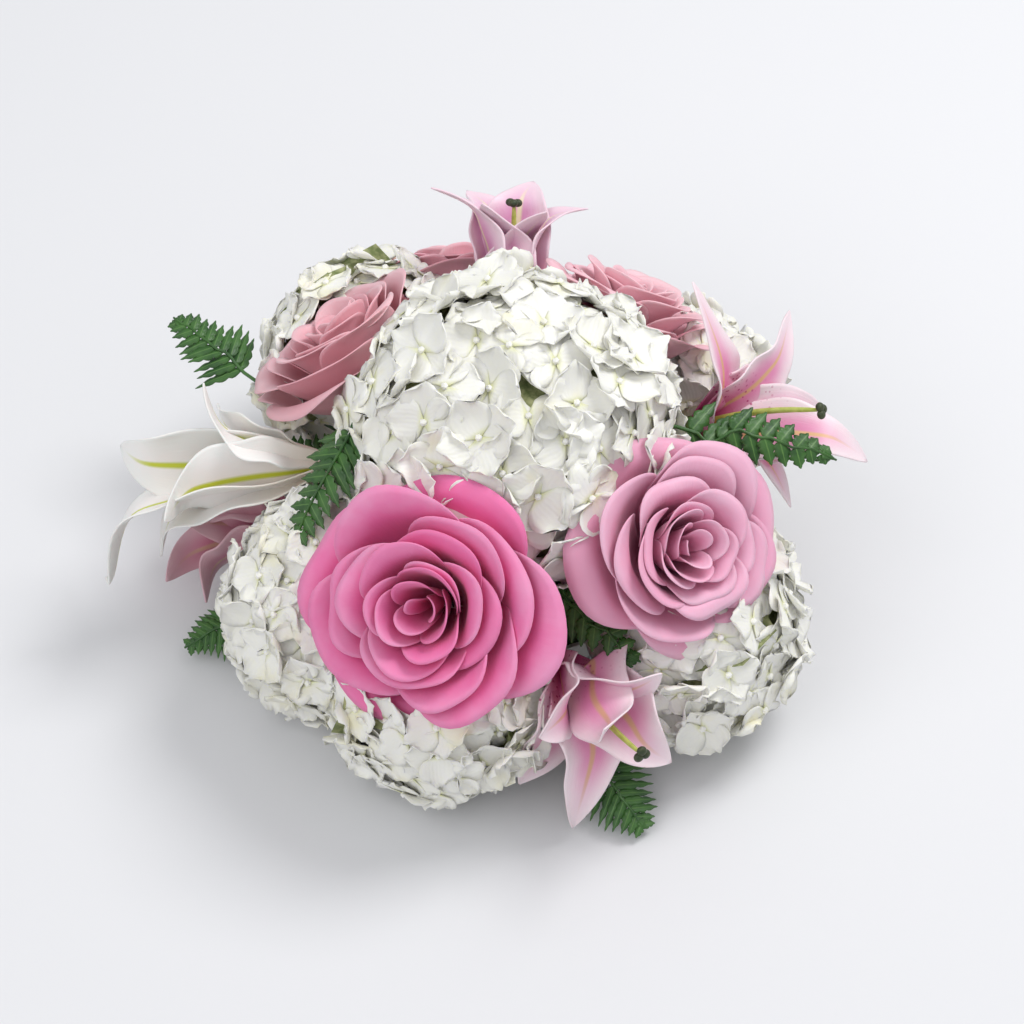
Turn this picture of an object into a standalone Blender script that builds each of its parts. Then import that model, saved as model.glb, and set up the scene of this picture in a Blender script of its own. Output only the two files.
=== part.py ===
"""A round, low table centrepiece: hydrangeas, roses, lilies and fern fronds standing in wet
foam in a shallow dish. Metres, +Z up; the origin is the middle of the dish's foot, on the table,
and -Y is the front."""

import math

import bmesh
import bpy
from mathutils import Matrix, Vector

# Driving dimensions.
DISH_RADIUS = 0.072
DISH_HEIGHT = 0.040
DISH_FOOT_RADIUS = 0.050
DISH_WALL = 0.0020
FOAM_TOP = 0.082
FOAM_SLACK = 0.0012
TAPE_WIDTH = 0.006
TAPE_TURN = 26
TAPE_THICKNESS = 0.0004
GAP = 0.0003
CUT_GAP = 0.0005
NECK = 0.006
FLOOR_GAP = 0.0015
BUMP = 0.018
HEAD_GAP = 0.0028
PETAL_THICKNESS = 0.0014
TEPAL_THICKNESS = 0.0012
TEPAL_GAP = 0.0003
PINNA_THICKNESS = 0.0010
PINNAE = 5
PINNA_BREADTH = 0.25  # half the greatest width of a leaflet, as a share of its length
PINNA_ROOM = 0.6  # the most that it can be, as a share of half its foot, so that neighbours stay apart

UP = Vector((0.0, 0.0, 1.0))

# Hydrangea heads: middle of the dome, way it faces, radius across, height of the dome, and where
# its stem is pushed into the foam (turn about the dish in degrees, distance out, height).
HYDRANGEAS = {
    "top": ((0.0, -0.006, 0.124), (0.0, -0.20, 1.0), 0.078, 0.066, (-64, 0.012, 0.050)),
    "front_left": ((-0.083, -0.052, 0.054), (-0.80, -0.55, 0.28), 0.054, 0.050, (232, 0.022, 0.052)),
    "front": ((-0.034, -0.097, 0.050), (-0.28, -0.93, 0.22), 0.053, 0.050, (255, 0.022, 0.048)),
    "front_right": ((0.086, -0.062, 0.052), (0.80, -0.56, 0.25), 0.055, 0.050, (325, 0.022, 0.050)),
    "back_left": ((-0.070, 0.083, 0.075), (-0.62, 0.68, 0.40), 0.055, 0.052, (135, 0.022, 0.050)),
    "back_right": ((0.076, 0.074, 0.056), (0.70, 0.68, 0.25), 0.055, 0.052, (48, 0.022, 0.048)),
}

# Roses: foot of the bloom, way it faces, radius across, how far it has opened (0 to 1), stem root.
ROSES = {
    "hot_pink": ((-0.029, -0.080, 0.096), (-0.28, -0.70, 0.66), 0.056, 1.0, (238, 0.020, 0.060)),
    "light_pink": ((0.063, -0.053, 0.098), (0.46, -0.56, 0.69), 0.050, 0.9, (310, 0.020, 0.060)),
    "dusty_pink": ((-0.060, 0.037, 0.098), (-0.52, 0.42, 0.74), 0.053, 0.60, (150, 0.016, 0.062)),
    "pale_pink": ((0.042, 0.060, 0.100), (0.40, 0.54, 0.74), 0.047, 0.60, (58, 0.018, 0.062)),
    "back_pink": ((-0.030, 0.110, 0.066), (-0.18, 0.86, 0.48), 0.043, 0.7, (104, 0.022, 0.052)),
}

# Lilies: throat, tips of the six tepals, end of the pistil, widest half width of a tepal, stem
# root. The throat faces the end of the pistil.
LILIES = {
    "back": (
        (-0.004, 0.082, 0.106),
        (
            (-0.040, 0.112, 0.164),
            (-0.016, 0.102, 0.163),
            (0.018, 0.102, 0.158),
            (0.038, 0.120, 0.143),
            (0.010, 0.146, 0.136),
            (-0.024, 0.142, 0.134),
        ),
        (0.001, 0.118, 0.152),
        0.008,
        (84, 0.010, 0.066),
    ),
    "right": (
        (0.086, 0.022, 0.098),
        (
            (0.081, 0.058, 0.160),
            (0.131, 0.074, 0.122),
            (0.126, 0.062, 0.092),
            (0.154, 0.043, 0.074),
            (0.167, 0.010, 0.084),
            (0.130, -0.006, 0.068),
        ),
        (0.144, 0.006, 0.126),
        0.013,
        (2, 0.022, 0.060),
    ),
    "front": (
        (0.022, -0.091, 0.064),
        (
            (0.037, -0.154, 0.098),
            (0.068, -0.116, 0.088),
            (0.071, -0.135, 0.044),
            (0.025, -0.145, 0.006),
            (0.003, -0.130, 0.020),
            (0.010, -0.140, 0.070),
        ),
        (0.058, -0.152, 0.074),
        0.014,
        (286, 0.022, 0.054),
    ),
    "left": (
        (-0.083, 0.002, 0.092),
        (
            (-0.158, -0.038, 0.094),
            (-0.142, 0.028, 0.124),
            (-0.186, 0.030, 0.078),
            (-0.190, -0.032, 0.046),
            (-0.168, -0.010, 0.034),
            (-0.140, 0.052, 0.080),
        ),
        (-0.150, -0.002, 0.092),
        0.014,
        (178, 0.020, 0.062),
    ),
    "low_left": (
        (-0.096, 0.012, 0.046),
        (
            (-0.166, -0.016, 0.024),
            (-0.148, -0.016, 0.008),
            (-0.142, 0.018, 0.006),
            (-0.152, 0.046, 0.018),
            (-0.158, 0.036, 0.044),
            (-0.156, 0.002, 0.050),
        ),
        (-0.144, 0.013, 0.028),
        0.008,
        (168, 0.026, 0.048),
    ),
}

# Fern fronds: foot of the blade, tip, way the upper face looks, longest pinna, stem root.
FERNS = {
    "left_upper": ((-0.132, 0.072, 0.082), (-0.166, 0.103, 0.086), (0.1, -0.3, 0.9), 0.013, (162, 0.026, 0.056)),
    "left_middle": ((-0.080, -0.020, 0.136), (-0.095, -0.064, 0.099), (-0.6, -0.4, 0.7), 0.020, (190, 0.008, 0.070)),
    "left_shade": ((-0.078, 0.014, 0.070), (-0.114, 0.034, 0.068), (-0.1, -0.5, 0.85), 0.012, (186, 0.036, 0.058)),
    "right": ((0.086, -0.004, 0.126), (0.150, -0.006, 0.104), (0.2, -0.5, 0.8), 0.018, (345, 0.014, 0.066)),
    "centre": ((0.016, -0.070, 0.090), (0.058, -0.104, 0.080), (0.1, -0.6, 0.8), 0.020, (285, 0.034, 0.070)),
    "left_lower": ((-0.124, -0.028, 0.016), (-0.157, -0.042, 0.008), (0.0, -0.1, 1.0), 0.014, (200, 0.028, 0.062)),
    "front_right": ((0.036, -0.114, 0.018), (0.062, -0.144, 0.006), (0.0, -0.1, 1.0), 0.014, (302, 0.030, 0.068)),
    "back_right": ((0.024, 0.118, 0.074), (0.034, 0.160, 0.058), (0.1, 0.5, 0.9), 0.018, (72, 0.024, 0.050)),
}

COLOURS = {
    "dish": ((0.90, 0.90, 0.88), 0.35),
    "foam": ((0.10, 0.26, 0.12), 0.95),
    "tape": ((0.30, 0.45, 0.32), 0.30),
    "stem": ((0.20, 0.36, 0.10), 0.50),
    "hydrangea": ((0.90, 0.89, 0.80), 0.55),
    "fern": ((0.07, 0.19, 0.04), 0.40),
    "pistil": ((0.52, 0.52, 0.12), 0.40),
    "rose_hot_pink": ((0.84, 0.22, 0.47), 0.50),
    "rose_light_pink": ((0.86, 0.45, 0.62), 0.50),
    "rose_dusty_pink": ((0.83, 0.50, 0.57), 0.50),
    "rose_pale_pink": ((0.90, 0.58, 0.66), 0.50),
    "rose_back_pink": ((0.88, 0.46, 0.60), 0.50),
    "lily_pink": ((0.84, 0.50, 0.66), 0.45),
    "lily_white": ((0.92, 0.88, 0.84), 0.45),
    "lily_dusty": ((0.74, 0.40, 0.50), 0.45),
}
LILY_COLOURS = {
    "back": "lily_pink",
    "right": "lily_pink",
    "front": "lily_pink",
    "left": "lily_white",
    "low_left": "lily_dusty",
}


# Shared ways of making a shape.


def clear_scene():
    for old in list(bpy.data.objects):
        bpy.data.objects.remove(old, do_unlink=True)


def material(name):
    found = bpy.data.materials.get(name)
    if found:
        return found
    colour, roughness = COLOURS[name]
    made = bpy.data.materials.new(name)
    made.use_nodes = True
    shader = made.node_tree.nodes["Principled BSDF"]
    shader.inputs["Base Color"].default_value = (*colour, 1.0)
    shader.inputs["Roughness"].default_value = roughness
    shader.inputs["Metallic"].default_value = 0.0
    return made


def add_piece(name, shape, finish, place=None):
    """Makes a bmesh a named, smooth object with its own material."""
    mesh = bpy.data.meshes.new(name)
    bmesh.ops.recalc_face_normals(shape, faces=shape.faces)
    shape.to_mesh(mesh)
    shape.free()
    mesh.shade_smooth()
    mesh.set_sharp_from_angle(angle=math.radians(40))
    mesh.materials.append(material(finish))
    piece = bpy.data.objects.new(name, mesh)
    bpy.context.scene.collection.objects.link(piece)
    piece.matrix_world = place or Matrix.Identity(4)
    return piece


def add_cutter(name, shape, rooms, place=None):
    """Makes a bmesh a hidden helper, which leaves room for a piece in its neighbours."""
    mesh = bpy.data.meshes.new(name)
    bmesh.ops.recalc_face_normals(shape, faces=shape.faces)
    shape.to_mesh(mesh)
    shape.free()
    cutter = bpy.data.objects.new(name, mesh)
    bpy.context.scene.collection.objects.link(cutter)
    cutter.matrix_world = place or Matrix.Identity(4)
    cutter.hide_render = True
    cutter.display_type = "WIRE"
    rooms.append(cutter)


def world_box(piece):
    corners = [piece.matrix_world @ vert.co for vert in piece.data.vertices]
    low = [min(corner[k] for corner in corners) for k in range(3)]
    high = [max(corner[k] for corner in corners) for k in range(3)]
    return low, high


def cut_by(piece, rooms):
    """Cuts from a piece each of the rooms whose box meets its own."""
    low, high = world_box(piece)
    for room in rooms:
        room_low, room_high = world_box(room)
        if any(room_low[k] > high[k] or room_high[k] < low[k] for k in range(3)):
            continue
        cut = piece.modifiers.new(room.name, "BOOLEAN")
        cut.operation = "DIFFERENCE"
        cut.object = room
        cut.solver = "EXACT"


def lathe(profile, steps):
    """Spins a profile of (radius, height) points about Z."""
    shape = bmesh.new()
    points = [shape.verts.new((radius, 0.0, height)) for radius, height in profile]
    edges = [shape.edges.new(pair) for pair in zip(points, points[1:])]
    bmesh.ops.spin(
        shape,
        geom=points + edges,
        cent=(0, 0, 0),
        axis=UP,
        angle=math.tau,
        steps=steps,
        use_merge=True,
    )
    bmesh.ops.remove_doubles(shape, verts=shape.verts, dist=1e-6)
    return shape


def placed(origin, along, across):
    """A frame at origin whose Z runs along, and whose X is as near across as it can be."""
    z = Vector(along).normalized()
    x = Vector(across)
    x = (x - x.dot(z) * z).normalized()
    y = z.cross(x)
    turned = Matrix((x, y, z)).transposed()
    return Matrix.Translation(origin) @ turned.to_4x4()


def facing(origin, direction):
    """A frame at origin whose Z faces the direction."""
    direction = Vector(direction).normalized()
    across = UP.cross(direction)
    if across.length < 0.05:
        across = Vector((1, 0, 0))
    return placed(Vector(origin), direction, across)


def bezier(a, b, c, d, t):
    s = 1 - t
    return a * s**3 + b * (3 * s * s * t) + c * (3 * s * t * t) + d * t**3


def path_points(start, start_way, end, end_way, steps, reach=0.36):
    """Points on a smooth run that leaves start one way and comes into end another way."""
    length = (end - start).length * reach
    first = start + start_way.normalized() * length
    last = end - end_way.normalized() * length
    return [bezier(start, first, last, end, i / steps) for i in range(steps + 1)]


def stations(points, across, sizes):
    """A frame at each point of a run, scaled to the half width and half thickness there."""
    frames = []
    for i, point in enumerate(points):
        along = points[min(i + 1, len(points) - 1)] - points[max(i - 1, 0)]
        wide, thick = sizes[i]
        scale = Matrix.Diagonal((wide, thick, 1.0, 1.0))
        frames.append(placed(point, along, across) @ scale)
    return frames


def sweep(shape, face, frames):
    """Extrudes a face from frame to frame, and gives the last face and the side faces."""
    rings = []
    for before, after in zip(frames, frames[1:]):
        edges = list(face.edges)
        made = bmesh.ops.extrude_discrete_faces(shape, faces=[face])
        face = made["faces"][0]
        bmesh.ops.transform(shape, matrix=after @ before.inverted(), verts=face.verts)
        rings.append([side for edge in edges for side in edge.link_faces])
    return face, rings


def close_sweep(shape, frames):
    """Sweeps the shape's one face, keeping a copy of it as the cap that closes the start."""
    shape.faces.ensure_lookup_table()
    bmesh.ops.duplicate(shape, geom=[shape.faces[0]])
    shape.faces.ensure_lookup_table()
    swept = sweep(shape, shape.faces[1], frames)
    bmesh.ops.remove_doubles(shape, verts=shape.verts, dist=1e-6)
    return swept


def tube(points, radii, sides):
    """A closed tube through the points."""
    shape = bmesh.new()
    frames = stations(points, perpendicular(points[-1] - points[0]), [(r, r) for r in radii])
    bmesh.ops.create_circle(shape, cap_ends=True, segments=sides, radius=1.0, matrix=frames[0])
    close_sweep(shape, frames)
    return shape


def perpendicular(direction):
    other = UP if abs(direction.normalized().z) < 0.8 else Vector((1, 0, 0))
    return direction.cross(other)


def in_foam(root):
    """The inner end of a stem, from its turn about the dish, distance out and height."""
    turn, out, height = root
    angle = math.radians(turn)
    return Vector((out * math.cos(angle), out * math.sin(angle), height))


def stem_run(root, base, way, steps):
    """A run from the foam to a bloom, with a short straight stretch under the bloom."""
    start = in_foam(root)
    first_way = (base - start).normalized() + UP * 0.25
    neck = base - way.normalized() * NECK
    return path_points(start, first_way, neck, way, steps - 1) + [base]


# The dish, its foam and the tape that holds the foam down.


def make_dish():
    outer = [(0.0, 0.0), (DISH_FOOT_RADIUS, 0.0), (DISH_FOOT_RADIUS, 0.003), (0.062, 0.012)]
    outer += [(DISH_RADIUS - 0.001, 0.028), (DISH_RADIUS, DISH_HEIGHT)]
    inner = [(DISH_RADIUS - DISH_WALL, DISH_HEIGHT), (DISH_RADIUS - 0.001 - DISH_WALL, 0.028)]
    inner += [(0.062 - DISH_WALL, 0.0135), (DISH_FOOT_RADIUS - DISH_WALL, 0.005), (0.0, 0.005)]
    add_piece("dish", lathe(outer + inner, 24), "dish")


def make_foam():
    wall = DISH_RADIUS - DISH_WALL - FOAM_SLACK
    profile = [(0.0, 0.005 + GAP), (DISH_FOOT_RADIUS - DISH_WALL - 0.001, 0.005 + GAP)]
    profile += [(0.062 - DISH_WALL - 0.0008, 0.0143), (wall - 0.0005, 0.0285), (wall - 0.0005, DISH_HEIGHT)]
    profile += [(wall - 0.004, FOAM_TOP - 0.014), (wall - 0.016, FOAM_TOP), (0.0, FOAM_TOP)]
    return add_piece("wet_foam", lathe(profile, 18), "foam")


def make_tape():
    """One strip over the middle of the foam, stuck down on the outside of the rim on both sides."""
    lift = GAP + TAPE_THICKNESS / 2
    wall = DISH_RADIUS - DISH_WALL - FOAM_SLACK
    arm = [(wall - 0.0165, FOAM_TOP + lift)]
    arm += [(wall - 0.0036 + lift, FOAM_TOP - 0.0136), (wall + lift, DISH_HEIGHT + 0.002 + lift)]
    arm += [(DISH_RADIUS + lift, DISH_HEIGHT + lift + 0.0004), (DISH_RADIUS + lift, DISH_HEIGHT - 0.008)]
    run = [(-radius, height) for radius, height in reversed(arm)] + arm
    points = [Vector((x, 0.0, z)) for x, z in run]
    across = Vector((0, 1, 0))
    frames = stations(points, across, [(TAPE_WIDTH / 2, TAPE_THICKNESS / 2)] * len(points))
    shape = bmesh.new()
    bmesh.ops.create_grid(shape, x_segments=1, y_segments=1, size=1.0, matrix=frames[0])
    close_sweep(shape, frames)
    add_piece("anchor_tape", shape, "tape", Matrix.Rotation(math.radians(TAPE_TURN), 4, "Z"))


# Hydrangeas: a woody stem and a dome of florets.

STEM_RADIUS = {"hydrangea": 0.0032, "rose": 0.0027, "lily": 0.0030, "fern": 0.0012}


def add_stem(name, points, radius, stem_rooms, flare=1.0):
    """A cut stem, which widens by flare under the bloom, and the room that it takes."""
    last = len(points) - 1
    radii = [radius] * (last + 1)
    radii[last] = radius * flare
    radii[last - 1] = radius * (1 + (flare - 1) * 0.6)
    add_piece(name, tube(points, radii, 8), "stem")
    longer = [points[0] - (points[1] - points[0]).normalized() * CUT_GAP]
    longer += points[1:-1]
    longer += [points[last] + (points[last] - points[last - 1]).normalized() * CUT_GAP]
    grown = [r + CUT_GAP for r in radii]
    add_cutter("room_for_" + name, tube(longer, grown, 8), stem_rooms)


def dome(radius, depth, place, grow):
    """A head of florets: an oblate dome with a bumpy skin, flattened where it nears the table."""
    edge = math.radians(104)
    rows = 7
    profile = [(0.0, depth + grow)]
    for i in range(1, rows + 1):
        turn = edge * i / rows
        profile.append(((radius + grow) * math.sin(turn), (depth + grow) * math.cos(turn)))
    profile += [(radius * 0.62, -depth * 0.10 - grow), (0.0, -depth * 0.02 - grow)]
    shape = lathe(profile, 18)
    for vert in shape.verts:
        turn = math.atan2(vert.co.y, vert.co.x)
        if vert.co.length > radius * 0.7:
            vert.co *= 1 + BUMP * math.sin(9 * turn + 5 * vert.co.normalized().z)
        world = place @ vert.co
        world.z = max(world.z, FLOOR_GAP - grow)
        vert.co = place.inverted() @ world
    bmesh.ops.triangulate(shape, faces=shape.faces)
    return shape


def make_hydrangeas(stem_rooms):
    """The six heads and their stems. Each head gives way to those made before it."""
    earlier = []
    heads = []
    for name, (centre, way, radius, depth, root) in HYDRANGEAS.items():
        place = facing(centre, way)
        points = stem_run(root, Vector(centre), Vector(way), 5)
        add_stem("hydrangea_%s_stem" % name, points, STEM_RADIUS["hydrangea"], stem_rooms)
        head = add_piece("hydrangea_%s_head" % name, dome(radius, depth, place, 0.0), "hydrangea", place)
        cut_by(head, earlier)
        add_cutter("room_for_head_" + name, dome(radius, depth, place, HEAD_GAP), earlier, place)
        heads.append(head)
    return heads


# Roses: a stem with its calyx, two cups of petals one inside the other, and a tight heart.


def cup_profile(radius, height, floor, opened, grow=0.0):
    """Outer side of a cup of petals, from its foot to its rim."""
    belly = 0.62 + 0.30 * opened
    rim = 0.86 + 0.14 * opened
    profile = [(0.0, floor - grow), (radius * 0.22 + grow, floor + height * 0.02 - grow)]
    profile += [(radius * belly * 0.72 + grow, floor + height * 0.16 - grow)]
    profile += [(radius * belly + grow, floor + height * 0.42)]
    profile += [(radius * (belly + rim) / 2 + grow, floor + height * 0.74)]
    profile += [(radius * rim + grow, floor + height + grow)]
    return profile


def petal_cup(radius, height, floor, opened, waves, turn):
    """One ring of overlapping petals as a thin cup with a waved rim."""
    shape = lathe(cup_profile(radius, height, floor, opened), waves * 3)
    for vert in shape.verts:
        rise = max(0.0, (vert.co.z - floor) / height)
        wave = math.cos(waves * (math.atan2(vert.co.y, vert.co.x) + turn))
        vert.co.z += 0.05 * height * wave * rise**2
        vert.co.xy *= 1 + 0.035 * wave * rise
    return shape


def thicken(piece, thickness):
    """Gives a cup its wall, inwards from the modelled outside."""
    wall = piece.modifiers.new("wall", "SOLIDIFY")
    wall.thickness = thickness
    wall.offset = -1.0
    wall.use_even_offset = True


def heart(radius, height, floor):
    profile = [(0.0, floor), (radius * 0.55, floor + height * 0.10), (radius, floor + height * 0.45)]
    profile += [(radius * 0.86, floor + height * 0.80), (radius * 0.45, floor + height), (0.0, floor + height * 0.94)]
    return lathe(profile, 10)


def make_roses(stem_rooms, bloom_rooms):
    for name, (foot, way, radius, opened, root) in ROSES.items():
        place = facing(foot, way)
        base = Vector(foot)
        finish = "rose_" + name
        points = stem_run(root, base - Vector(way).normalized() * GAP, Vector(way), 5)
        add_stem("rose_%s_stem" % name, points, STEM_RADIUS["rose"], stem_rooms, flare=2.6)
        height = radius * (0.98 - 0.16 * opened)
        outer = petal_cup(radius, height, GAP, opened, 5, 0.0)
        thicken(add_piece("rose_%s_outer_petals" % name, outer, finish, place), PETAL_THICKNESS)
        inner_floor = GAP * 2 + PETAL_THICKNESS
        inner = petal_cup(radius * 0.68, height * 0.98, inner_floor, opened * 0.45, 5, 0.6)
        thicken(add_piece("rose_%s_inner_petals" % name, inner, finish, place), PETAL_THICKNESS)
        bud_floor = inner_floor + PETAL_THICKNESS + GAP
        add_piece("rose_%s_heart" % name, heart(radius * 0.32, height * 0.92, bud_floor), finish, place)
        room = cup_profile(radius * 1.05, height * 1.06, 0.0, opened, CUT_GAP * 2)
        room += [(radius * 0.62, height * 1.22), (0.0, height * 1.28)]
        add_cutter("room_for_rose_" + name, lathe(room, 16), bloom_rooms, place)


# Lilies: a stem, six tepals joined at the throat, and a pistil.

TEPAL_WIDTHS = (0.34, 0.74, 1.0, 0.94, 0.62, 0.16)
HUB_RADIUS = 0.0062
HUB_HEIGHT = 0.0030


def tepal_star(place, tips, half_width, grow):
    """Six tepals that leave the hub along its axis and bend out to their tips."""
    shape = bmesh.new()
    axis = place.to_3x3() @ UP
    origin = place.translation
    inverse = place.inverted()
    order = sorted((inverse @ Vector(tip) for tip in tips), key=bearing)
    drift = sum(bearing(tip) - math.tau * (i / 6 - 0.5) for i, tip in enumerate(order)) / 6
    hub_frame = place @ Matrix.Rotation(drift, 4, "Z")
    radius = HUB_RADIUS + grow
    bmesh.ops.create_circle(
        shape, cap_ends=True, segments=6, radius=radius,
        matrix=hub_frame @ Matrix.Translation((0, 0, GAP - grow)),
    )
    rise = Matrix.Translation(axis * (HUB_HEIGHT + grow))
    top, _ = close_sweep(shape, [Matrix.Identity(4), rise])
    ring = bmesh.ops.inset_individual(
        shape, faces=[top], thickness=TEPAL_THICKNESS + 2 * grow, use_even_offset=True
    )["faces"]
    bmesh.ops.inset_individual(shape, faces=ring, thickness=TEPAL_GAP)
    ring = sorted(ring, key=lambda side: bearing(inverse @ side.calc_center_median()))
    shift = min(range(6), key=lambda step: mismatch(ring, order, step, inverse))
    for i, face in enumerate(ring):
        middle = face.calc_center_median()
        tip = order[(i + shift) % 6]
        end = place @ tip
        outward = end - origin
        outward = (outward - outward.dot(axis) * axis).normalized()
        across = axis.cross(outward)
        points = path_points(middle, axis + outward * 0.10, end, outward - axis * 0.35, 6, 0.40)
        points = [point for point in points[:-1]]
        points[-1] = points[-1].lerp(end, 0.85)
        thick = TEPAL_THICKNESS / 2 + grow
        sizes = [(half_width * width + grow, thick) for width in TEPAL_WIDTHS]
        sizes[0] = (HUB_RADIUS * 0.45, thick)
        sweep(shape, face, stations(points, across, sizes))
    return shape


def bearing(point):
    return math.atan2(point.y, point.x)


def mismatch(ring, tips, step, inverse):
    """How far round the hub the tips lie from its sides, with the tips moved on by some steps."""
    total = 0.0
    for i, side in enumerate(ring):
        turn = bearing(tips[(i + step) % 6]) - bearing(inverse @ side.calc_center_median())
        total += abs((turn + math.pi) % math.tau - math.pi)
    return total


def make_lilies(stem_rooms, bloom_rooms):
    for name, (throat, tips, end, half_width, root) in LILIES.items():
        base = Vector(throat)
        axis = (Vector(end) - base).normalized()
        place = facing(throat, axis)
        points = stem_run(root, base, axis, 5)
        add_stem("lily_%s_stem" % name, points, STEM_RADIUS["lily"], stem_rooms, flare=1.5)
        star = tepal_star(place, tips, half_width, 0.0)
        add_piece("lily_%s_tepals" % name, star, LILY_COLOURS[name])
        add_cutter("room_for_lily_" + name, tepal_star(place, tips, half_width, 2 * CUT_GAP), bloom_rooms)
        start = base + axis * (HUB_HEIGHT + GAP * 2)
        run = [start.lerp(Vector(end), i / 6) for i in range(7)]
        radii = [0.0016, 0.0022, 0.0014, 0.0012, 0.0012, 0.0014, 0.0032]
        add_piece("lily_%s_pistil" % name, tube(run, radii, 6), "pistil")


# Ferns: a wiry stalk with toothed pinnae on both sides.


def frond(points, blade_from, across, pinna):
    """A stalk swept through the points; past blade_from every second stretch bears two pinnae."""
    shape = bmesh.new()
    last = len(points) - 1
    sizes = []
    for i in range(last + 1):
        share = max(0.0, (i - blade_from) / (last - blade_from))
        half = STEM_RADIUS["fern"] * (1 - 0.7 * share)
        sizes.append((half, half))
    frames = stations(points, across, sizes)
    bmesh.ops.create_grid(shape, x_segments=1, y_segments=1, size=1.0, matrix=frames[0])
    _, rings = close_sweep(shape, frames)
    for i in range(blade_from, last, 2):
        share = (i - blade_from) / (last - blade_from)
        length = pinna * (1 - share) * (0.75 + 0.8 * share) + 0.002
        stretch = points[i + 1] - points[i]
        frame = placed(points[i], stretch, across)
        inward = frame.inverted().to_3x3()
        for face in rings[i]:
            side = (inward @ face.normal).x
            if abs(side) > 0.7:
                way = frame.to_3x3() @ Vector((math.copysign(1.0, side), 0.0, 0.75))
                add_pinna(shape, face, way.normalized() * length, stretch)
    return shape


def add_pinna(shape, face, reach, stretch):
    """A leaflet swept out and forward from one side of the stalk."""
    start = face.calc_center_median()
    wide = stretch.length * 0.5
    thick = PINNA_THICKNESS / 2
    full = min(wide * PINNA_ROOM, reach.length * PINNA_BREADTH)
    frames = stations(
        [start, start + reach * 0.55, start + reach],
        stretch,
        [(wide, STEM_RADIUS["fern"]), (full, thick), (full * 0.2, thick)],
    )
    frames[0] = placed(start, face.normal, stretch) @ Matrix.Diagonal((wide, thick * 2, 1, 1))
    sweep(shape, face, frames)


def add_frond_rooms(name, points, blade_from, across, pinna, rooms):
    """The room that a frond takes: a tube for its stalk and a box for its blade."""
    half = STEM_RADIUS["fern"] * 1.5 + CUT_GAP
    stalk = points[:blade_from + 2]
    add_cutter("room_for_stalk_" + name, tube(stalk, [half] * len(stalk), 6), rooms)
    foot = points[blade_from]
    blade = points[-1] - foot
    bow = max((point - foot).cross(blade).length / blade.length for point in points[blade_from:])
    size = (2 * (pinna + CUT_GAP), 2 * (bow + half), blade.length + 4 * CUT_GAP, 1.0)
    place = placed(foot.lerp(points[-1], 0.5), blade, across)
    shape = bmesh.new()
    bmesh.ops.create_cube(shape, size=1.0, matrix=Matrix.Diagonal(size))
    add_cutter("room_for_blade_" + name, shape, rooms, place)


def make_ferns(stem_rooms):
    for name, (foot, tip, face_way, pinna, root) in FERNS.items():
        base = Vector(foot)
        end = Vector(tip)
        blade = end - base
        stalk = stem_run(root, base, blade, 5)
        arch = Vector(face_way).normalized() * blade.length * 0.08
        steps = PINNAE * 2
        leaf = [base.lerp(end, i / steps) + arch * math.sin(math.pi * i / steps) for i in range(steps + 1)]
        points = stalk[:-1] + leaf
        across = Vector(face_way).cross(blade)
        add_piece("fern_" + name, frond(points, 5, across, pinna), "fern")
        add_frond_rooms(name, points, 5, across, pinna, stem_rooms)


def main():
    clear_scene()
    stem_rooms = []
    bloom_rooms = []
    make_dish()
    make_tape()
    foam = make_foam()
    heads = make_hydrangeas(stem_rooms)
    make_roses(stem_rooms, bloom_rooms)
    make_lilies(stem_rooms, bloom_rooms)
    make_ferns(stem_rooms)
    cut_by(foam, stem_rooms)
    for head in heads:
        cut_by(head, bloom_rooms + stem_rooms)


main()
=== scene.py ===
import math
import random

import bmesh
import bpy
import numpy as np
from mathutils import Matrix, Vector
from mathutils.bvhtree import BVHTree
from mathutils.geometry import intersect_point_line


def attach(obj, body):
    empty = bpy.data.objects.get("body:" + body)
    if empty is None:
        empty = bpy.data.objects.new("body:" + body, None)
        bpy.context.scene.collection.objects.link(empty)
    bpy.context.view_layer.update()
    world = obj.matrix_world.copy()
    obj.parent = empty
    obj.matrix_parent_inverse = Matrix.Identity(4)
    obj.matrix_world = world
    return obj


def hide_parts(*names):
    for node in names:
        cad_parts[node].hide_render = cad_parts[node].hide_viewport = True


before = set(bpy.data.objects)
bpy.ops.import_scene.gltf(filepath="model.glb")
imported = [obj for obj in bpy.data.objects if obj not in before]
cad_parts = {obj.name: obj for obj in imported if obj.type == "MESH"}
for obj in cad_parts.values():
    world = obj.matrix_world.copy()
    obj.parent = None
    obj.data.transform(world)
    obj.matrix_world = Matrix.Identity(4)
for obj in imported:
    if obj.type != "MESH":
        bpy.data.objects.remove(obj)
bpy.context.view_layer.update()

# --- The dish ---
# A shallow round dish of moulded white plastic, which holds the foam. It shows only from low
# down, between the lowest florets, and has a faint moulded grain.


def shader_of(name, roughness):
    """A new material: its node tree, its shader, and a function that adds and wires a node."""
    made = bpy.data.materials.new(name)
    made.use_nodes = True
    tree = made.node_tree
    shader = tree.nodes["Principled BSDF"]
    shader.inputs["Roughness"].default_value = roughness

    def add(kind, links=None, **values):
        node = tree.nodes.new(kind)
        for key, value in values.items():
            if hasattr(node, key):
                setattr(node, key, value)
            else:
                node.inputs[key.replace("_", " ")].default_value = value
        for socket, source in (links or {}).items():
            tree.links.new(source, node.inputs[socket])
        return node

    return made, tree, shader, add


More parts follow.
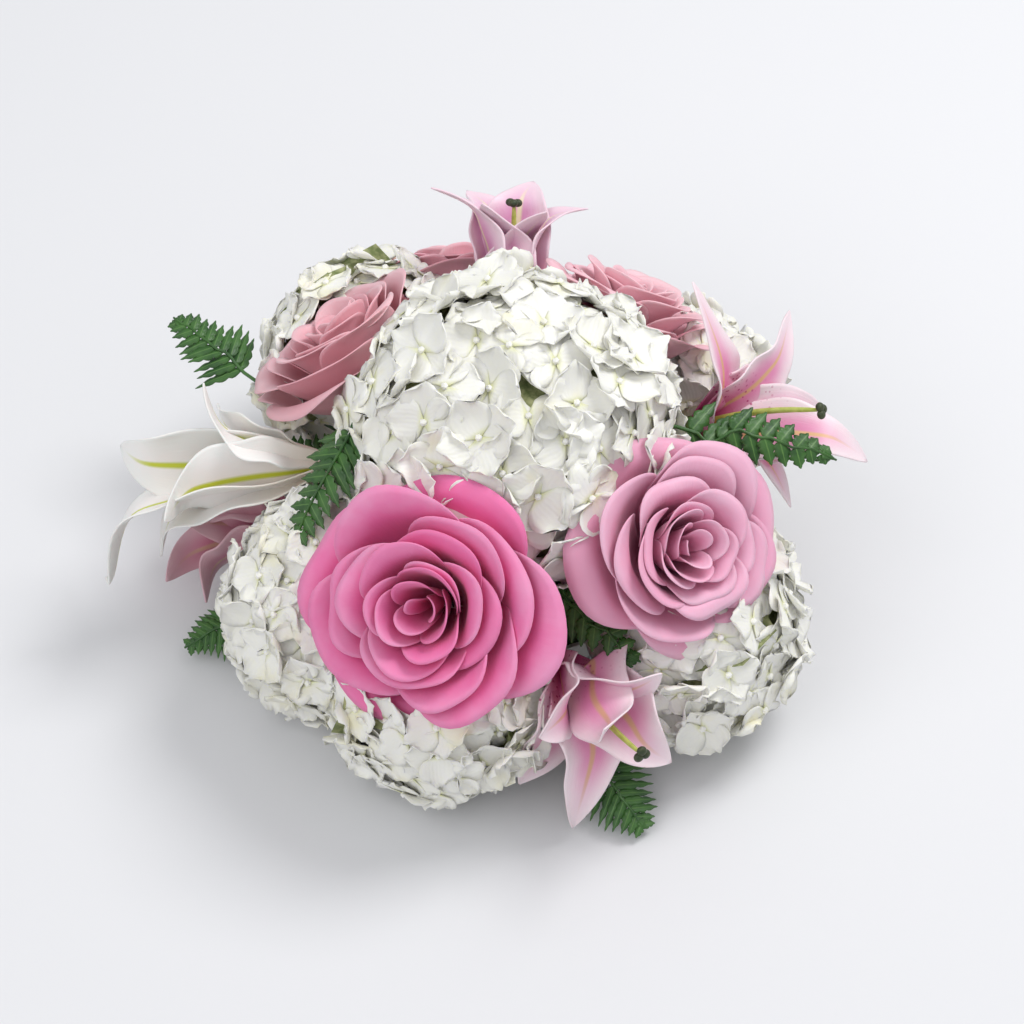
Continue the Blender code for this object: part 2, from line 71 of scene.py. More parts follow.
def mix(add, factor, low, high):
    """A colour mix. factor is a socket, and low and high are colours or sockets."""
    node = add("ShaderNodeMix", data_type="RGBA")
    tree = node.id_data
    if isinstance(factor, float):
        node.inputs[0].default_value = factor
    else:
        tree.links.new(factor, node.inputs[0])
    for index, value in ((6, low), (7, high)):
        if isinstance(value, tuple):
            node.inputs[index].default_value = (*value, 1.0)
        else:
            tree.links.new(value, node.inputs[index])
    return node.outputs[2]


def ramp(add, source, low, high):
    """0 to 1 as the source goes from low to high, smoothly."""
    node = add("ShaderNodeMapRange", {"Value": source}, interpolation_type="SMOOTHSTEP")
    node.inputs["From Min"].default_value = low
    node.inputs["From Max"].default_value = high
    return node.outputs["Result"]


def cloudy(add, scale, detail):
    """A noise that keeps its place on the object."""
    place = add("ShaderNodeTexCoord").outputs["Object"]
    return add("ShaderNodeTexNoise", {"Vector": place}, Scale=scale, Detail=detail).outputs["Fac"]


def roughen(tree, shader, add, height, strength, distance):
    """Raises the surface where the height is greater."""
    bumps = add("ShaderNodeBump", {"Height": height}, Strength=strength, Distance=distance)
    tree.links.new(bumps.outputs["Normal"], shader.inputs["Normal"])


def grained(name, low, high, scale, roughness, bump):
    """A plain substance whose colour and surface vary with a fine noise."""
    made, tree, shader, add = shader_of(name, roughness)
    grain = cloudy(add, scale, 6.0)
    tree.links.new(mix(add, ramp(add, grain, 0.3, 0.7), low, high), shader.inputs["Base Color"])
    roughen(tree, shader, add, grain, bump, 0.0005)
    return made


def dress(node, material):
    """Gives a kept CAD node a material."""
    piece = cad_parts[node]
    piece.data.materials.clear()
    piece.data.materials.append(material)


dress("dish", grained("dish plastic", (0.80, 0.80, 0.77), (0.86, 0.86, 0.84), 220.0, 0.35, 0.05))

# --- The foam and its tape ---
# Wet floral foam is a fine-celled dark green block. A strip of green waterproof tape over it
# sticks to the rim of the dish.

dress("wet_foam", grained("wet foam", (0.03, 0.09, 0.03), (0.07, 0.16, 0.06), 900.0, 0.9, 0.6))
dress("anchor_tape", grained("anchor tape", (0.10, 0.22, 0.12), (0.14, 0.28, 0.15), 500.0, 0.45, 0.2))

# --- Stems ---
# Sixteen green cut stems, pushed into the foam. Each is faintly mottled and meets its bloom at
# the calyx or the throat.

stem_green = grained("stem", (0.10, 0.20, 0.04), (0.24, 0.36, 0.10), 160.0, 0.5, 0.15)
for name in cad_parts:
    if name.endswith("_stem"):
        dress(name, stem_green)

# --- Hydrangea heads ---
# Six creamy white heads, each a dome of some dozens of florets. A floret has four round, cupped sepals 15 to
# 19 mm long on a small green-yellow button, and stands on a thin stalk. The sepals overlap, are greener
# towards the button, and let the middle of the head show between them. There a solid body stands for the
# stalks, and its dark olive green is partly painted shade.


def corners(node):
    """The separate vertices of a CAD node."""
    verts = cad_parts[node].data.vertices
    return [Vector(p) for p in sorted({tuple(round(c, 6) for c in v.co) for v in verts})]


def middle(points):
    return sum(points, Vector()) / len(points)


def stem_end(stem, bloom):
    """Where a stem meets its bloom, and the way that the stem runs there."""
    centre = middle(corners(bloom))
    points = sorted(corners(stem), key=lambda p: (p - centre).length)
    end = middle(points[:8])
    return end, (end - middle(points[8:16])).normalized()


def turned(axis):
    """A rotation whose Z is the axis."""
    return axis.to_track_quat("Z", "X").to_matrix()


def add_sheet(shape, columns, rows, place, luck):
    """Adds a sheet whose point at u from -1 to 1 and v from 0 to 1 is place(u, v). Its tone holds
    v, the distance from the middle, and a number of its own."""
    tone = shape.verts.layers.float_color.get("tone") or shape.verts.layers.float_color.new("tone")
    uv = shape.loops.layers.uv.get("UVMap") or shape.loops.layers.uv.new("UVMap")
    made = bmesh.ops.create_grid(shape, x_segments=columns, y_segments=rows, size=1.0)["verts"]
    seats = {vert: (vert.co.x, (vert.co.y + 1) / 2) for vert in made}
    for face in {face for vert in made for face in vert.link_faces}:
        face.smooth = True
        for loop in face.loops:
            u, v = seats[loop.vert]
            loop[uv].uv = (u * 0.5 + 0.5, v)
    for vert, (u, v) in seats.items():
        vert[tone] = (v, abs(u), luck, 1.0)
        vert.co = place(u, v)


def add_piece(name, shape, material, node, thickness, levels=0):
    """Makes a bmesh a piece that stands for a CAD node, with a wall if it is a sheet."""
    mesh = bpy.data.meshes.new(name)
    shape.to_mesh(mesh)
    shape.free()
    mesh.materials.append(material)
    piece = bpy.data.objects.new(name, mesh)
    bpy.context.scene.collection.objects.link(piece)
    if levels:
        smooth = piece.modifiers.new("smooth", "SUBSURF")
        smooth.levels = levels
        smooth.render_levels = levels
    if thickness:
        wall = piece.modifiers.new("wall", "SOLIDIFY")
        wall.thickness = thickness
        wall.offset = 0.0
    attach(piece, "root")
    if node:
        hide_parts(node)
    return piece


def tone_of(add):
    """Red runs from foot to tip, green from the middle to the edges, and blue is the sheet's own."""
    stored = add("ShaderNodeAttribute", attribute_name="tone")
    return add("ShaderNodeSeparateColor", {"Color": stored.outputs["Color"]}).outputs


def let_light_in(shader, depths):
    """Lets a little light pass into a petal, as deep as given for red, green and blue."""
    shader.inputs["Subsurface Weight"].default_value = 0.2
    shader.inputs["Subsurface Radius"].default_value = depths


def rippled(add, scale, distortion):
    """Bands across a sheet."""
    seat = add("ShaderNodeUVMap").outputs["UV"]
    return add("ShaderNodeTexWave", {"Vector": seat}, Scale=scale, Distortion=distortion).outputs["Fac"]


def floret_material():
    made, tree, shader, add = shader_of("floret", 0.55)
    tone = tone_of(add)
    cream = mix(add, tone["Blue"], (0.84, 0.83, 0.77), (0.88, 0.87, 0.82))
    warm = mix(add, ramp(add, cloudy(add, 45.0, 3.0), 0.56, 0.74), cream, (0.86, 0.83, 0.66))
    greener = mix(add, ramp(add, tone["Red"], 0.22, 0.0), warm, (0.76, 0.77, 0.46))
    tree.links.new(greener, shader.inputs["Base Color"])
    roughen(tree, shader, add, rippled(add, 3.0, 4.0), 0.12, 0.0006)
    let_light_in(shader, (0.004, 0.004, 0.002))
    return made


def add_floret(shape, foot, out, length, dice):
    """Four cupped sepals around a small button."""
    frame_of = turned(out) @ Matrix.Rotation(dice.uniform(0, math.tau), 3, "Z")
    lift = dice.uniform(-0.15, 0.50)
    luck = dice.random()
    for k in range(4):
        turn = Matrix.Rotation(math.radians(90 * k + dice.uniform(-8, 8)), 3, "Z")
        own = lift + dice.uniform(-0.16, 0.16)
        wide = dice.uniform(0.56, 0.68) * length
        cup = dice.uniform(-0.25, 0.50)
        phase = dice.uniform(0, math.tau)
        step = 0.0007 * (k % 2)

        def place(u, v, turn=turn, own=own, wide=wide, cup=cup, phase=phase, step=step):
            half = wide * (0.10 + 0.90 * math.sqrt(max(0.0, 1 - ((v - 0.52) / 0.5) ** 2)))
            bow = length * (v - 0.10 * v * u * u * (1 + v))
            ripple = 0.06 * length * math.sin(phase + 5.0 * u + 3.0 * v) * v
            rise = length * (own * v * v * 0.9 - 0.10 * v) + cup * half * u * u * v + ripple + step
            return foot + frame_of @ (turn @ Vector((u * half, bow, rise)))

        add_sheet(shape, 6, 6, place, luck)
    button = Matrix.Translation(foot + out * 0.0012)
    bmesh.ops.create_icosphere(shape, subdivisions=1, radius=0.0016, matrix=button)


golden_angle = 2.39996
pocket_reach = 0.0065  # a floret farther than this from the CAD dome's surface would stand in a pocket
lowest_floret = 0.010
lowest_sepal = 0.0006
core_depth = 0.011


def add_head(key, count, length):
    """Florets spread over the dome of a head, and under them a solid body that stands for the stalks and, in
    its dark green, for painted shade between them.
    """
    node = "hydrangea_" + key + "_head"
    centre, axis = stem_end("hydrangea_" + key + "_stem", node)
    points = corners(node)
    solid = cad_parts[node].data
    skin = BVHTree.FromPolygons([v.co for v in solid.vertices], [p.vertices[:] for p in solid.polygons])
    depth = max((p - centre).dot(axis) for p in points)
    radius = max(((p - centre) - axis * (p - centre).dot(axis)).length for p in points)
    face = turned(axis)
    shape = bmesh.new()
    dice = random.Random(key)
    for i in range(count):
        tall = 1 - (i + 0.5) / count * 1.30
        spin = i * golden_angle + dice.uniform(-0.12, 0.12)
        flat = math.sqrt(max(0.0, 1 - tall * tall))
        local = Vector((flat * math.cos(spin) * radius, flat * math.sin(spin) * radius, tall * depth))
        out = face @ Vector((local.x / radius**2, local.y / radius**2, local.z / depth**2)).normalized()
        point = centre + face @ local
        distance = skin.find_nearest(point)[3]
        if distance > pocket_reach or point.z < lowest_floret:
            continue
        sunk = dice.uniform(0.001, 0.0085)
        tilt = Vector([dice.uniform(-0.28, 0.28) for _ in range(3)])
        add_floret(shape, point - out * sunk, (out + tilt).normalized(), length, dice)
        bmesh.ops.create_cone(
            shape, segments=5, radius1=0.0008, radius2=0.0008, depth=0.02,
            matrix=Matrix.Translation(point - out * (sunk + core_depth)) @ turned(out).to_4x4(),
        )
    for vert in shape.verts:
        vert.co.z = max(vert.co.z, lowest_sepal)
    add_piece(node + "_florets", shape, floret_white, node, 0.0004)
    # The body under the florets is the dome shrunk inward, one solid sheet. Its dark green stands for the
    # stalks and for the painted shade in the gaps between them.
    core = bmesh.new()
    core.from_mesh(solid)
    bmesh.ops.remove_doubles(core, verts=core.verts, dist=1e-5)
    bmesh.ops.recalc_face_normals(core, faces=core.faces)
    core.normal_update()
    for vert in core.verts:
        vert.co -= vert.normal * core_depth
    add_piece(node + "_stalks_and_shade", core, stalks_and_shade_green, None, 0.0)


floret_white = floret_material()
# The stalk body's colours, dark green to olive: stalk colour, partly painted shade of the middle of the head.
stalks_and_shade_green = grained("floret stalks and painted shade", (0.16, 0.20, 0.07), (0.42, 0.43, 0.22), 260.0, 0.8, 0.5)
add_head("top", 96, 0.0185)
for side in ("front_left", "front", "front_right", "back_left", "back_right"):
    add_head(side, 80, 0.0155)

# --- Roses ---
# Five open garden roses, about 85 to 115 mm across. Each has broad outer petals with rolled lips, steeper
# inner petals, and a tight spiral heart, in rings one inside another. The petals are velvety and about half a
# millimetre thick and palest at the lip. Their colour is painted darker towards the foot of each petal, deep
# in the folds, as painted shade.


def wavering(add, source, scale):
    """The source, raised unevenly by a noise."""
    half = add("ShaderNodeMath", {0: cloudy(add, scale, 4.0)}, operation="MULTIPLY")
    half.inputs[1].default_value = 0.5
    return add("ShaderNodeMath", {0: source, 1: half.outputs[0]}, operation="ADD").outputs[0]


def fine_veins(add, stretch, scale):
    """A noise drawn out from foot to tip."""
    drawn = add("ShaderNodeMapping", {"Vector": add("ShaderNodeUVMap").outputs["UV"]})
    drawn.inputs["Scale"].default_value = stretch
    place = drawn.outputs["Vector"]
    return add("ShaderNodeTexNoise", {"Vector": place}, Scale=scale, Detail=4.0).outputs["Fac"]


def petal_material(name, deep, mid, rim, veil, rim_from):
    made, tree, shader, add = shader_of(name, 0.6)
    tone = tone_of(add)
    outward = wavering(add, tone["Red"], 38.0)
    # Each petal darkens towards its foot, deep in the cup: the deep colour is painted shade in the folds.
    inner = mix(add, ramp(add, outward, 0.35, 0.95), deep, mid)
    lip = mix(add, ramp(add, outward, rim_from, 1.38), inner, rim)
    own = mix(add, ramp(add, tone["Blue"], 0.2, 1.4), lip, mid)
    tree.links.new(mix(add, 0.12, own, veil), shader.inputs["Base Color"])
    roughen(tree, shader, add, fine_veins(add, (9.0, 0.8, 1.0), 5.0), 0.16, 0.0008)
    shader.inputs["Sheen Weight"].default_value = 0.15
    let_light_in(shader, (0.006, 0.003, 0.003))
    return made


def add_petal(shape, foot, face, turn, start, reach, height, span, lip, dice):
    """A petal on a cup. start and reach are its radii at foot and rim, and span is half its
    width in radians."""
    luck = dice.random()
    phase = dice.uniform(0, math.tau)
    lean = dice.uniform(-0.05, 0.05)
    peak = dice.uniform(0.02, 0.10)
    fold = dice.uniform(0.6, 1.5)

    def place(u, v):
        edge = 1 - (1 - math.sqrt(max(0.0, 1 - 0.80 * abs(u) ** 2.6))) * 0.55 + peak * (1 - abs(u))
        t = v * edge
        belly = math.sin(math.pi / 2 * min(1.0, t * 1.15))
        radius = start + (reach - start) * (0.72 * belly + 0.28 * t * t)
        tall = height * t**1.25
        roll = max(0.0, t - 0.74) / 0.26
        radius += lip * roll * roll * (0.7 + 0.5 * fold * abs(u))
        tall -= lip * 0.75 * roll**3 * fold
        width = span * (0.45 + 0.55 * math.sin(math.pi / 2 * min(1.0, 0.25 + 1.1 * v)))
        angle = turn + u * width + lean * v
        waves = 0.045 * math.sin(phase + 3.4 * u) + 0.022 * math.sin(2 * phase + 8.0 * u)
        wave = waves * reach * v * v
        radius += wave - 0.03 * reach * abs(u) ** 2 * (1 - v)
        local = (radius * math.cos(angle), radius * math.sin(angle), tall + wave * 0.6)
        return foot + face @ Vector(local)

    add_sheet(shape, 12, 10, place, luck)


# Each ring from the outside in: how many petals, their reach and height as shares of the whorl's,
# and how far the lip rolls out.
outer_rings = ((4, 1.02, 0.74, 0.15), (4, 0.90, 0.92, 0.14), (3, 0.76, 0.99, 0.12))
inner_rings = ((4, 1.0, 1.0, 0.18), (3, 0.82, 1.03, 0.14), (3, 0.62, 1.02, 0.11))
heart_petals = 7


def add_rose(key, material, open_out):
    """The three whorls of a rose, each in the room of its CAD node."""
    name = "rose_" + key
    outer, inner, bud = name + "_outer_petals", name + "_inner_petals", name + "_heart"
    foot, _ = stem_end(name + "_stem", outer)
    axis = (middle(corners(bud)) - foot).normalized()
    face = turned(axis)

    def reach_of(node):
        points = [p - foot for p in corners(node)]
        return max((p - axis * p.dot(axis)).length for p in points), max(p.dot(axis) for p in points)

    dice = random.Random(key)
    radius, height = reach_of(outer)
    shape = bmesh.new()
    for ring, (count, size, tall, lip) in enumerate(outer_rings):
        for k in range(count):
            turn = math.tau * (k / count) + ring * 0.8 + dice.uniform(-0.22, 0.22)
            add_petal(
                shape, foot, face, turn, radius * (0.10 - 0.02 * ring), radius * (size - lip * open_out),
                height * tall * dice.uniform(0.88, 1.02), 1.0 - 0.04 * ring, radius * lip * open_out, dice,
            )
    add_piece(name + "_outer_whorl", shape, material, outer, 0.0006, 1)
    radius, height = reach_of(inner)
    shape = bmesh.new()
    for ring, (count, size, tall, lip) in enumerate(inner_rings):
        for k in range(count):
            turn = math.tau * (k / count) + ring * 0.9 + dice.uniform(-0.15, 0.15)
            add_petal(
                shape, foot + axis * 0.003, face, turn, radius * 0.08, radius * (size - lip),
                height * tall * dice.uniform(0.88, 1.0), 1.12, radius * lip, dice,
            )
    add_piece(name + "_inner_whorl", shape, material, inner, 0.0006, 1)
    radius, height = reach_of(bud)
    shape = bmesh.new()
    for k in range(heart_petals):
        size = 1.08 - 0.14 * k
        turn = k * 2.3 + dice.uniform(-0.2, 0.2)
        add_petal(
            shape, foot + axis * 0.005, face, turn, radius * 0.10, radius * size * 0.92,
            height * (0.98 - 0.012 * k), 1.30, radius * 0.12, dice,
        )
    add_piece(name + "_spiral", shape, material, bud, 0.0005, 1)


# The colours of the painted shade deep in the folds, of the petal and of the lip, a veil over all of them,
# where the lip's colour begins, and how far the rose has opened.
for key, deep, mid, rim, veil, rim_from, open_out in (
    ("hot_pink", (0.62, 0.02, 0.16), (0.80, 0.10, 0.34), (0.84, 0.33, 0.55), (0.84, 0.45, 0.60), 1.02, 1.0),
    ("light_pink", (0.62, 0.12, 0.28), (0.80, 0.34, 0.50), (0.84, 0.50, 0.64), (0.80, 0.50, 0.64), 0.98, 1.0),
    ("dusty_pink", (0.60, 0.14, 0.22), (0.76, 0.34, 0.40), (0.82, 0.52, 0.56), (0.82, 0.52, 0.56), 0.92, 0.8),
    ("pale_pink", (0.80, 0.20, 0.36), (0.85, 0.44, 0.52), (0.88, 0.60, 0.64), (0.88, 0.60, 0.64), 0.90, 0.9),
    ("back_pink", (0.76, 0.20, 0.34), (0.82, 0.38, 0.46), (0.87, 0.56, 0.60), (0.85, 0.55, 0.60), 0.92, 0.9),
):
    add_rose(key, petal_material(key.replace("_", " "), deep, mid, rim, veil, rim_from), open_out)

# --- Lilies ---
# Five oriental lilies. Each has six waxy tepals 50 to 120 mm long, joined at the throat, with
# ruffled pale edges and a raised rib, and in the middle a yellow-green style that ends in a dark
# three-lobed stigma. The anthers have been taken off, as florists do.


def tepal_material(name, edge, body, throat, rib, spots):
    made, tree, shader, add = shader_of(name, 0.42)
    tone = tone_of(add)
    pale = mix(add, ramp(add, wavering(add, tone["Green"], 60.0), 0.35, 1.30), body, edge)
    tipped = mix(add, ramp(add, tone["Red"], 0.62, 1.0), pale, edge)
    deep = mix(add, ramp(add, tone["Red"], 0.42, 0.04), tipped, throat)
    ribbed = mix(add, ramp(add, tone["Green"], 0.13, 0.03), deep, rib)
    faded = mix(add, ramp(add, tone["Red"], 0.72, 0.95), ribbed, tipped)
    place = add("ShaderNodeTexCoord").outputs["Object"]
    cells = add("ShaderNodeTexVoronoi", {"Vector": place}, Scale=330.0)
    dots = ramp(add, cells.outputs["Distance"], 0.26, 0.16)
    zone = ramp(add, tone["Red"], 0.62, 0.30)
    where = add("ShaderNodeMath", {0: dots, 1: zone}, operation="MULTIPLY")
    final = mix(add, where.outputs[0], faded, spots) if spots else faded
    tree.links.new(final, shader.inputs["Base Color"])
    roughen(tree, shader, add, fine_veins(add, (10.0, 0.5, 1.0), 4.0), 0.25, 0.0008)
    let_light_in(shader, (0.005, 0.003, 0.003))
    return made


def arms_of(node, throat, hub):
    """The vertices of each tepal of a star of tepals, hub apart."""
    star = bmesh.new()
    star.from_mesh(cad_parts[node].data)
    bmesh.ops.remove_doubles(star, verts=star.verts, dist=1e-5)
    bmesh.ops.delete(star, geom=[v for v in star.verts if (v.co - throat).length < hub], context="VERTS")
    left = set(star.verts)
    arms = []
    while left:
        stack = [left.pop()]
        arm = []
        while stack:
            vert = stack.pop()
            arm.append(vert.co.copy())
            for edge in vert.link_edges:
                other = edge.other_vert(vert)
                if other in left:
                    left.remove(other)
                    stack.append(other)
        if len(arm) > 6:
            arms.append(arm)
    star.free()
    return sorted(arms, key=lambda arm: tuple(middle(arm)))


def spine_of(points, start, stretch):
    """Middles of the points in steps of distance from start, from the nearest to the farthest."""
    bins = {}
    for point in points:
        bins.setdefault(round((point - start).length / stretch), []).append(point)
    return [middle(bins[step]) for step in sorted(bins)]


def along(spine, t):
    """The point at t from 0 to 1 on a smooth run through the spine."""
    place = min(t, 0.9999) * (len(spine) - 1)
    i = int(place)
    f = place - i
    a, b = spine[max(i - 1, 0)], spine[i]
    c, d = spine[min(i + 1, len(spine) - 1)], spine[min(i + 2, len(spine) - 1)]
    return 0.5 * (2 * b + (c - a) * f + (2 * a - 5 * b + 4 * c - d) * f * f + (3 * b - a - 3 * c + d) * f**3)


def add_tepal(shape, arm, throat, axis, broad, dice):
    """A tepal along the middle of an arm of the CAD star, broad times as wide as the arm."""
    tip = max(arm, key=lambda p: (p - throat).length)
    spine = [throat] + spine_of(arm, throat, 0.014)
    spine[-1] = tip
    out = middle(arm) - throat
    out = (out - axis * out.dot(axis)).normalized()
    across = axis.cross(out)
    wide = max(abs((p - middle(arm)).dot(across)) for p in arm) * broad
    phase = dice.uniform(0, math.tau)
    luck = dice.random()

    def place(u, v):
        point = along(spine, v)
        ahead = (along(spine, min(v + 0.04, 1.0)) - along(spine, max(v - 0.04, 0.0))).normalized()
        inward = ahead.cross(across).normalized()
        if inward.dot(axis - out) < 0:
            inward = -inward
        narrowing = max(0.0, 1 - max(0.0, (v - 0.42) / 0.58) ** 2.1)
        half = wide * min(1.0, 0.26 + 2.2 * v) * narrowing + 0.0003
        wave = 0.10 * wide * math.sin(phase + 17 * v + (2.0 if u > 0 else 0.0))
        ruffle = wave * u * u * min(1.0, 4 * v * (1 - v) + 0.1)
        cup = 0.30 * half * u * u * (1 - 0.6 * v) + ruffle
        rib = 0.0011 * math.exp(-((u / 0.10) ** 2)) * (1 - v)
        return point + across * (u * half * (1 - 0.06 * u * u)) + inward * (cup - rib)

    add_sheet(shape, 12, 18, place, luck)


style_green = grained("style", (0.36, 0.42, 0.06), (0.52, 0.56, 0.14), 300.0, 0.4, 0.1)
stigma_dark = grained("stigma", (0.02, 0.035, 0.01), (0.05, 0.06, 0.02), 500.0, 0.5, 0.4)


hub_reach = 0.0088  # everything farther than this from the throat belongs to one tepal


def add_lily(key, material, broad=1.45):
    """The six tepals of a lily, its style and its stigma."""
    tepals, pistil = "lily_" + key + "_tepals", "lily_" + key + "_pistil"
    throat, _ = stem_end("lily_" + key + "_stem", tepals)
    points = corners(pistil)
    end = middle(sorted(points, key=lambda p: -(p - throat).length)[:6])
    axis = (end - throat).normalized()
    dice = random.Random(key)
    shape = bmesh.new()
    for arm in arms_of(tepals, throat, hub_reach):
        add_tepal(shape, arm, throat, axis, broad, dice)
    add_piece("lily_" + key + "_star", shape, material, tepals, 0.0008, 1)
    across = axis.orthogonal()
    length = (end - throat).length
    style = bmesh.new()
    bmesh.ops.create_cone(style, cap_ends=True, segments=12, radius1=0.0021, radius2=0.0011, depth=1.0)
    for step in (-0.25, 0.0, 0.25):
        whole = style.verts[:] + style.edges[:] + style.faces[:]
        bmesh.ops.bisect_plane(style, geom=whole, plane_co=(0, 0, step), plane_no=(0, 0, 1))
    face = turned(axis)
    for vert in style.verts:
        share = vert.co.z + 0.5
        bend = across * math.sin(math.pi * share) * 0.0022
        level = throat + axis * (0.004 + share * (length - 0.005))
        vert.co = level + face @ Vector((vert.co.x, vert.co.y, 0)) + bend
    add_piece("lily_" + key + "_style", style, style_green, pistil, 0.0, 1)
    knob = bmesh.new()
    for k in range(3):
        turn = k * 2.094
        spread = face @ Vector((math.cos(turn), math.sin(turn), 0.0)) * 0.0020
        flatter = face.to_4x4() @ Matrix.Diagonal((1, 1, 0.8, 1))
        place = Matrix.Translation(end + spread - axis * 0.0018) @ flatter
        bmesh.ops.create_uvsphere(knob, u_segments=12, v_segments=8, radius=0.0025, matrix=place)
    add_piece("lily_" + key + "_stigma", knob, stigma_dark, None, 0.0, 1)


pink_edge = (0.88, 0.74, 0.78)
pink_lily = tepal_material(
    "pink lily", pink_edge, (0.76, 0.26, 0.46), (0.56, 0.05, 0.22), (0.74, 0.44, 0.22), (0.50, 0.04, 0.20)
)
front_lily = tepal_material(
    "front lily", pink_edge, (0.76, 0.28, 0.48), (0.60, 0.08, 0.26), (0.70, 0.40, 0.26), (0.42, 0.03, 0.16)
)
back_lily = tepal_material(
    "back lily", (0.86, 0.66, 0.74), (0.72, 0.32, 0.54), (0.66, 0.20, 0.42), (0.84, 0.74, 0.50), None
)
white_lily = tepal_material(
    "white lily", (0.87, 0.86, 0.83), (0.87, 0.82, 0.80), (0.84, 0.76, 0.66), (0.56, 0.60, 0.04), None
)
# The low left lily is a pink lily coloured darker all over, its pale edges too: painted shade, as it faces
# down in shadow under the others.
shade_painted_lily = tepal_material(
    "lily in painted shade", (0.74, 0.46, 0.52), (0.60, 0.20, 0.30), (0.50, 0.10, 0.20), (0.66, 0.40, 0.30), None
)
add_lily("back", back_lily, 2.3)
add_lily("right", pink_lily)
add_lily("front", front_lily)
add_lily("left", white_lily)
add_lily("low_left", shade_painted_lily, 2.2)

# --- Fern fronds ---
# Leatherleaf fern: a wiry stalk with glossy dark green leaflets in pairs, each cut into rounded
# lobes, and shorter towards the tip. The stalks are pushed into the foam.


def frond_material():
    made, tree, shader, add = shader_of("leatherleaf", 0.32)
    mottle = ramp(add, cloudy(add, 120.0, 4.0), 0.3, 0.7)
    leaf = mix(add, mottle, (0.018, 0.075, 0.012), (0.05, 0.15, 0.025))
    ribbed = mix(add, ramp(add, tone_of(add)["Green"], 0.12, 0.02), leaf, (0.10, 0.22, 0.05))
    tree.links.new(ribbed, shader.inputs["Base Color"])
    roughen(tree, shader, add, rippled(add, 6.0, 2.0), 0.25, 0.0005)
    return made


pairs = 10
foam_middle = Vector((0, 0, 0.06))


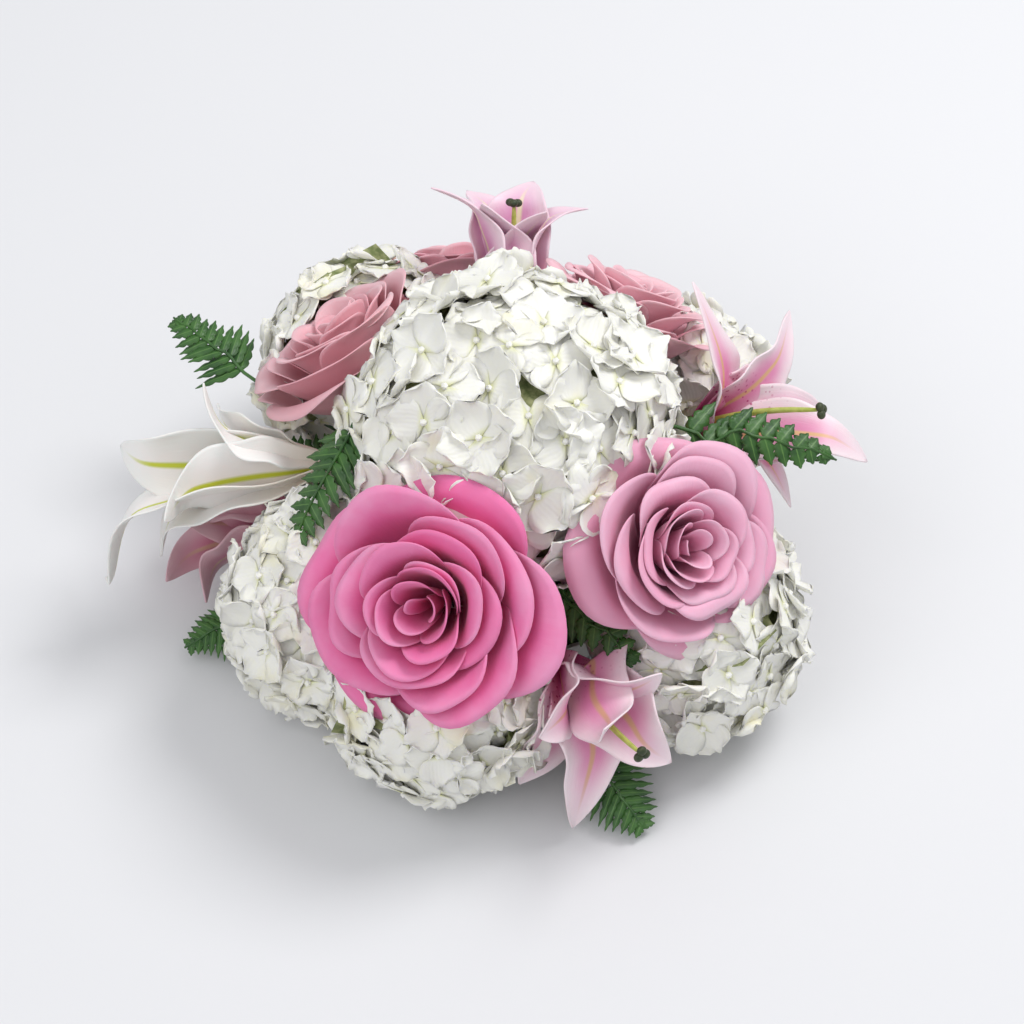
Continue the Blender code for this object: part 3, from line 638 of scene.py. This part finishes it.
def add_frond(key, material):
    """The stalk of a frond, its pairs of leaflets, and the leaflet at its tip."""
    node = "fern_" + key
    points = corners(node)
    root = min(points, key=lambda p: (p - foam_middle).length)
    spine = spine_of(points, root, 0.006)
    tip = max(points, key=lambda p: (p - root).length)
    spine[-1] = tip
    clear = [p for p in points if min((p - s).length for s in spine) > 0.004]
    foot = min(clear, key=lambda p: (p - root).length)
    begin = (foot - root).length
    blade = np.array([p for p in points if (p - root).length > begin])
    flat = blade - blade.mean(axis=0)
    normal = Vector(np.linalg.svd(flat)[2][2])
    if normal.z < 0:
        normal = -normal
    ahead = (tip - along(spine, 0.75)).normalized()
    across = normal.cross(ahead).normalized()
    wide = max((intersect_point_line(Vector(p), foot, tip)[0] - Vector(p)).length for p in blade)
    start = next(i for i, s in enumerate(spine) if (s - root).length > begin - 0.004) / (len(spine) - 1)
    dice = random.Random(key)
    shape = bmesh.new()

    def rachis(u, v):
        point = along(spine, v)
        way = (along(spine, min(1.0, v + 0.03)) - along(spine, max(0.0, v - 0.03))).normalized()
        side = way.cross(normal).normalized()
        turn = math.pi * u
        round_it = side * math.cos(turn) + side.cross(way) * math.sin(turn)
        return point + round_it * 0.0010 * (1 - 0.6 * v)

    add_sheet(shape, 8, 24, rachis, 0.5)
    for i in range(pairs):
        share = i / pairs
        spot = start + (1 - start) * share
        for side in (-1, 1):
            base = along(spine, spot)
            length = wide * 1.22 * (1 - share) ** 0.75 * dice.uniform(0.92, 1.05) + 0.002
            way = (across * side + ahead * 0.60 + normal * dice.uniform(-0.12, 0.16)).normalized()
            width = way.cross(normal).normalized()
            half = (tip - foot).length / pairs * 0.72

            def leaflet(u, v, base=base, way=way, width=width, length=length, half=half):
                lobes = 0.62 + 0.38 * abs(math.sin(math.pi * v * 3.5))
                span = half * lobes * (1 - v**2.2) * min(1.0, 0.45 + 2.4 * v) + 0.0001
                droop = -0.16 * length * v * v - 0.22 * span * abs(u)
                return base + way * (length * v) + width * (u * span) + normal * droop

            add_sheet(shape, 4, 14, leaflet, dice.random())
    end = along(spine, 0.93)

    def last(u, v):
        span = 0.0030 * (1 - v) * (0.7 + 0.3 * abs(math.sin(math.pi * v * 3))) + 0.0001
        return end.lerp(tip, v) + across * (u * span)

    add_sheet(shape, 4, 8, last, 0.5)
    add_piece("frond_" + key, shape, material, node, 0.0003)


leaf_green = frond_material()
for key in (
    "left_upper", "left_middle", "left_shade", "right", "centre", "left_lower", "front_right", "back_right",
):
    add_frond(key, leaf_green)

# --- Stage ---
# A pale table top that runs into the background, a soft key light from behind on the right, a
# wider fill from the front on the left, and the camera. None of it is part of the object.

floor = bmesh.new()
bmesh.ops.create_grid(floor, x_segments=1, y_segments=1, size=6.0)
floor_mesh = bpy.data.meshes.new("table top")
floor.to_mesh(floor_mesh)
floor.free()
table = bpy.data.objects.new("table top", floor_mesh)
bpy.context.scene.collection.objects.link(table)
table_white, _, shader, _ = shader_of("table top", 0.7)
shader.inputs["Base Color"].default_value = (0.74, 0.74, 0.755, 1.0)
shader.inputs["Specular IOR Level"].default_value = 0.1
floor_mesh.materials.append(table_white)


def lamp(name, spot, size, power):
    light = bpy.data.lights.new(name, "AREA")
    light.shape = "DISK"
    light.size = size
    light.energy = power
    holder = bpy.data.objects.new(name, light)
    bpy.context.scene.collection.objects.link(holder)
    holder.location = spot
    holder.rotation_euler = (Vector((0, 0, 0.08)) - Vector(spot)).to_track_quat("-Z", "Y").to_euler()


lamp("key", (0.9, 0.5, 1.7), 0.9, 21.0)
lamp("fill", (-1.0, -0.9, 1.6), 1.6, 11.0)
world = bpy.data.worlds.new("soft room")
bpy.context.scene.world = world
world.use_nodes = True
world.node_tree.nodes["Background"].inputs["Color"].default_value = (0.95, 0.97, 1.0, 1.0)
world.node_tree.nodes["Background"].inputs["Strength"].default_value = 0.62

lens = bpy.data.cameras.new("camera")
lens.lens = 103.4
camera = bpy.data.objects.new("camera", lens)
bpy.context.scene.collection.objects.link(camera)
aim = Vector((0, 0, 0.06))
raised = math.radians(50)
camera.location = aim + Vector((0, -math.cos(raised), math.sin(raised))) * 1.4
camera.rotation_euler = (aim - camera.location).to_track_quat("-Z", "Y").to_euler()
bpy.context.scene.camera = camera
bpy.context.scene.view_settings.view_transform = "Standard"
